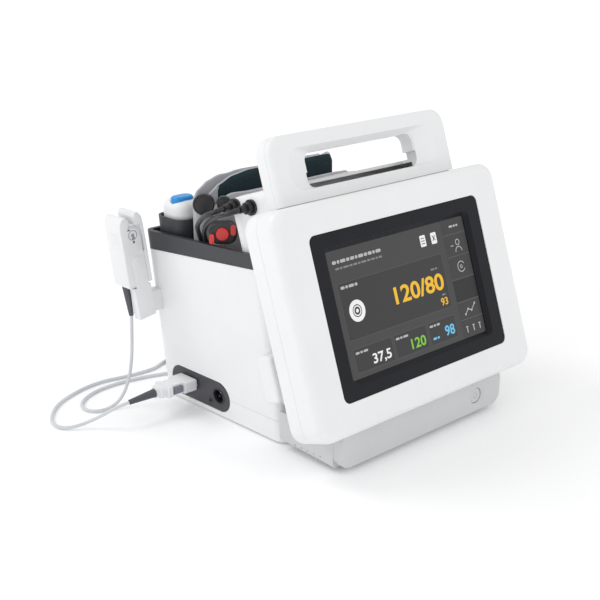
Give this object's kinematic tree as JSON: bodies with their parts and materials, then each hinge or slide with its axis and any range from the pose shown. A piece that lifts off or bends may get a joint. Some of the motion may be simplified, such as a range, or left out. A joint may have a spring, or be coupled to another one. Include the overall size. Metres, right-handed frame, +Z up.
{
  "type": "patient monitor",
  "caption": "Tabletop vital-signs monitor: leaning display head with a carrying handle, storage basket with cuffs and thermometer, and a finger sensor on a lead.",
  "frame": {"origin": "middle of the square stand boss on the underside, in the plane that the rubber feet stand on", "axes": "+X to the right of a person who faces the screen, +Y to the back, +Z up"},
  "size_m": [0.3324, 0.2927, 0.2473],
  "materials": {
    "casing_white": "fine satin",
    "casing_grey": "fine satin",
    "bezel_dark": "satin",
    "screen_glass": "smooth",
    "panel_dark": "satin",
    "board_green": "solder mask",
    "metal_dark": "satin",
    "button_grey": "satin",
    "button_red": "smooth",
    "button_blue": "satin",
    "spring_steel": "drawn wire",
    "steel": "turned",
    "brass": "knurled",
    "rubber_black": "matt",
    "liner_dark": "satin",
    "panel_blue_grey": "satin",
    "socket_black": "satin",
    "hose_grey": "satin",
    "cuff_grey": "woven nylon",
    "cuff_teal": "woven nylon",
    "clip_grey": "satin",
    "cord_grey": "satin"
  },
  "bodies": {
    "chassis": {"base_screws": "steel", "base_tray": "casing_white", "basket_liner": "liner_dark", "battery_door": "casing_white", "battery_pack": "panel_dark", "body_shell": "casing_white", "button_spring": "rubber_black", "clip_holder": "casing_grey", "clip_outer_jaw": "clip_grey", "clip_pin": "steel", "clip_spring": "spring_steel", "connector_panel": "panel_blue_grey", "coupling_caps": "button_red", "cuff_coupling": "casing_grey", "display_bezel": "bezel_dark", "display_gasket": "rubber_black", "foot_frame": "casing_grey", "front_cover": "casing_white", "front_fascia": "casing_grey", "front_hose": "hose_grey", "handle_front_trim": "casing_white", "head_rear_cover": "casing_white", "hose_plugs": "socket_black", "hose_ports": "socket_black", "large_cuff": "cuff_teal", "large_cuff_port": "socket_black", "lcd_panel": "panel_dark", "main_board": "board_green", "neck_housing": "casing_grey", "outer_finger_pad": "rubber_black", "plug_lead": "cord_grey", "plug_strain_relief": "cord_grey", "power_board": "board_green", "power_socket": "socket_black", "power_switch": "board_green", "pump": "metal_dark", "rear_hose": "hose_grey", "rubber_feet": "rubber_black", "sensor_lead": "cord_grey", "sensor_lead_coil": "cord_grey", "sensor_plug": "clip_grey", "sensor_socket": "socket_black", "sensor_strain_relief": "cord_grey", "side_port_cover": "casing_white", "small_cuff": "cuff_grey", "small_cuff_port": "socket_black", "socket_pins": "steel", "speaker": "metal_dark", "stand_inserts": "brass", "thermometer_cradle": "liner_dark", "touch_glass": "screen_glass", "valve_block": "panel_dark"},
    "button": {"power_button": "button_grey"},
    "coupling_press": {"coupling_button": "button_red"},
    "thermometer": {"thermometer_body": "casing_white"},
    "thermometer_key": {"thermometer_button": "button_blue"},
    "clip_jaw": {"clip_inner_jaw": "clip_grey", "inner_finger_pad": "rubber_black"},
    "front_latch": {"front_plug_latch": "button_grey"},
    "rear_latch": {"rear_plug_latch": "button_grey"}
  },
  "joints": [
    {"name": "power_button_press", "type": "slide", "parent": "chassis", "child": "button", "axis": [0, 1, 0], "range_m": [0, 0.0015], "stiffness_N_per_m": 1500, "deforming": ["button_spring"]},
    {"name": "coupling_button_press", "type": "slide", "parent": "chassis", "child": "coupling_press", "axis": [0.7071, 0.7071, 0], "range_m": [0, 0.0011], "stiffness_N_per_m": 1500},
    {"name": "thermometer_lift", "type": "slide", "parent": "chassis", "child": "thermometer", "axis": [0, 0, 1], "range_m": [0, 0.12]},
    {"name": "thermometer_button_press", "type": "slide", "parent": "thermometer", "child": "thermometer_key", "axis": [0, 0, -1], "range_m": [0, 0.0012], "stiffness_N_per_m": 1500},
    {"name": "clip_open", "type": "hinge", "parent": "chassis", "child": "clip_jaw", "pos_m": [-0.1265, 0.109, 0.15], "axis": [0, -1, 0], "range_deg": [0, 9], "stiffness_Nm_per_rad": 0.5},
    {"name": "front_latch_press", "type": "slide", "parent": "chassis", "child": "front_latch", "axis": [0, 1, 0], "range_m": [0, 0.0008], "stiffness_N_per_m": 1500},
    {"name": "rear_latch_press", "type": "slide", "parent": "chassis", "child": "rear_latch", "axis": [0, -1, 0], "range_m": [0, 0.0008], "stiffness_N_per_m": 1500}
  ]
}
